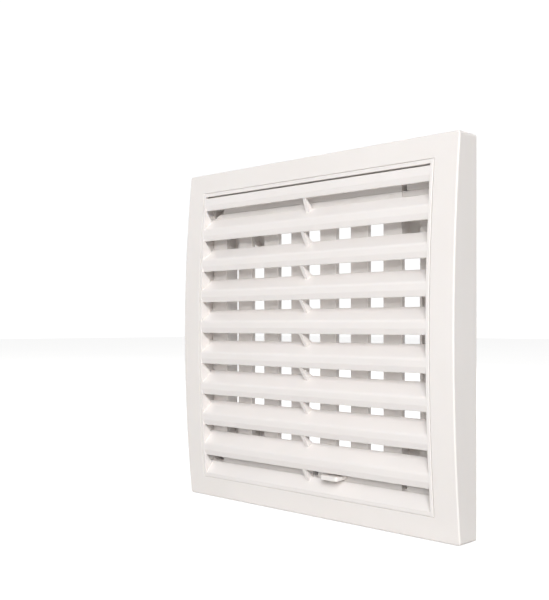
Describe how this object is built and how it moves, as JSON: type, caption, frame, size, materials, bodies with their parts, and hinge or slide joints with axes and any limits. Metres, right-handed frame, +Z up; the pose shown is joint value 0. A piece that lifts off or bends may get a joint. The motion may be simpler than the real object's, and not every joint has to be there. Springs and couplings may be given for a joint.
{
  "type": "louvred air grille",
  "caption": "Square white wall grille with a bowed bezel, fixed sloping louvres in a clip-in insert, and a slotted shutter worked by a finger tab.",
  "frame": {"origin": "centre of the grille on the wall plane, midway between the four screw holes", "axes": "+Z up, +X to the right as seen from the room, +Y into the wall"},
  "size_m": [0.208, 0.0208, 0.208],
  "materials": {
    "frame_plastic": "satin",
    "insert_plastic": "satin",
    "shutter_plastic": "satin"
  },
  "bodies": {
    "frame": {"duct_collar_bottom": "frame_plastic", "duct_collar_left": "frame_plastic", "duct_collar_right": "frame_plastic", "duct_collar_top": "frame_plastic", "end_stop_closed": "frame_plastic", "end_stop_open": "frame_plastic", "grid_bar_1": "frame_plastic", "grid_bar_2": "frame_plastic", "grid_bar_3": "frame_plastic", "grid_bar_4": "frame_plastic", "grid_bar_5": "frame_plastic", "grid_bar_6": "frame_plastic", "outer_bezel": "frame_plastic", "rear_webs_bottom": "frame_plastic", "rear_webs_left": "frame_plastic", "rear_webs_right": "frame_plastic", "rear_webs_top": "frame_plastic", "screw_bosses_bottom": "frame_plastic", "screw_bosses_top": "frame_plastic", "shutter_ledge_bottom": "frame_plastic", "shutter_ledge_top": "frame_plastic", "slot_ends_bottom": "frame_plastic", "slot_ends_top": "frame_plastic", "well_floor_bottom": "frame_plastic", "well_floor_left": "frame_plastic", "well_floor_right": "frame_plastic", "well_floor_top": "frame_plastic"},
    "shutter": {"finger_tab": "shutter_plastic", "shutter_bar_1": "shutter_plastic", "shutter_bar_2": "shutter_plastic", "shutter_bar_3": "shutter_plastic", "shutter_bar_4": "shutter_plastic", "shutter_bar_5": "shutter_plastic", "shutter_bar_6": "shutter_plastic", "shutter_bar_7": "shutter_plastic", "shutter_rail_bottom": "shutter_plastic", "shutter_rail_top": "shutter_plastic"},
    "louvre_insert": {"centre_rib": "insert_plastic", "clip_tongues_bottom": "insert_plastic", "clip_tongues_top": "insert_plastic", "insert_rail_bottom": "insert_plastic", "insert_rail_top": "insert_plastic", "insert_side_left": "insert_plastic", "insert_side_right": "insert_plastic", "louvre_blade_01": "insert_plastic", "louvre_blade_02": "insert_plastic", "louvre_blade_03": "insert_plastic", "louvre_blade_04": "insert_plastic", "louvre_blade_05": "insert_plastic", "louvre_blade_06": "insert_plastic", "louvre_blade_07": "insert_plastic", "louvre_blade_08": "insert_plastic", "louvre_blade_09": "insert_plastic", "louvre_blade_10": "insert_plastic"}
  },
  "joints": [
    {"name": "shutter_slide", "type": "slide", "parent": "frame", "child": "shutter", "axis": [1, 0, 0], "range_m": [0, 0.01155]},
    {"name": "insert_pull", "type": "slide", "parent": "frame", "child": "louvre_insert", "axis": [0, -1, 0], "range_m": [0, 0.025]}
  ]
}
